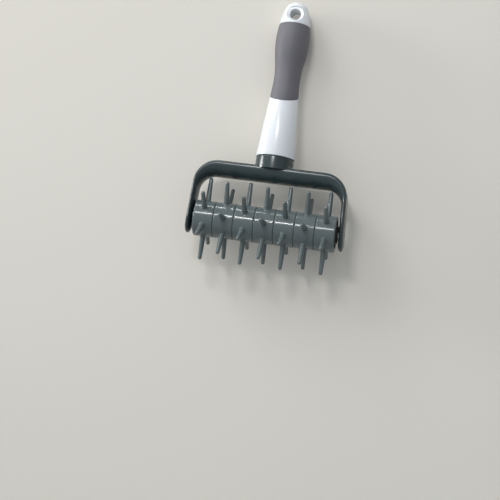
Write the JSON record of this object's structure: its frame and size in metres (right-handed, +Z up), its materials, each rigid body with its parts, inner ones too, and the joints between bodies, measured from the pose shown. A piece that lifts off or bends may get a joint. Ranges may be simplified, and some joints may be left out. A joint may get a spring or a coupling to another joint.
{
  "type": "dough docker",
  "caption": "Hand roller that pricks rolled dough: spiked rings turn on an axle in a U-shaped yoke, behind a tapered handle with a soft grip and a hanging hole.",
  "frame": {"origin": "centre of the bottom face of the bounding box, on the table that the tool lies on", "axes": "+Y along the handle from roller to butt, +X along the roller's axis, +Z up from the table"},
  "size_m": [0.118, 0.2004, 0.0613],
  "materials": {
    "yoke_plastic": "glossy moulded ABS, blue-grey",
    "handle_plastic": "glossy moulded ABS, white",
    "grip_rubber": "soft-touch elastomer, grey",
    "ring_plastic": "glossy moulded acetal, grey",
    "core_plastic": "plain moulded nylon, black",
    "bush_plastic": "moulded acetal, black",
    "axle_steel": "ground stainless rod"
  },
  "bodies": {
    "holder": {"yoke": "yoke_plastic", "axle": "axle_steel", "handle": "handle_plastic", "grip": "grip_rubber", "end_cap": "handle_plastic"},
    "roller": {"core": "core_plastic", "bush_left": "bush_plastic", "bush_right": "bush_plastic", "ring_1": "ring_plastic", "ring_2": "ring_plastic", "ring_3": "ring_plastic", "ring_4": "ring_plastic", "ring_5": "ring_plastic", "ring_6": "ring_plastic", "ring_7": "ring_plastic"}
  },
  "joints": [
    {"name": "roller_spin", "type": "hinge", "parent": "holder", "child": "roller", "pos_m": [0, -0.06956, 0.03064], "axis": [1, 0, 0], "continuous": true}
  ]
}
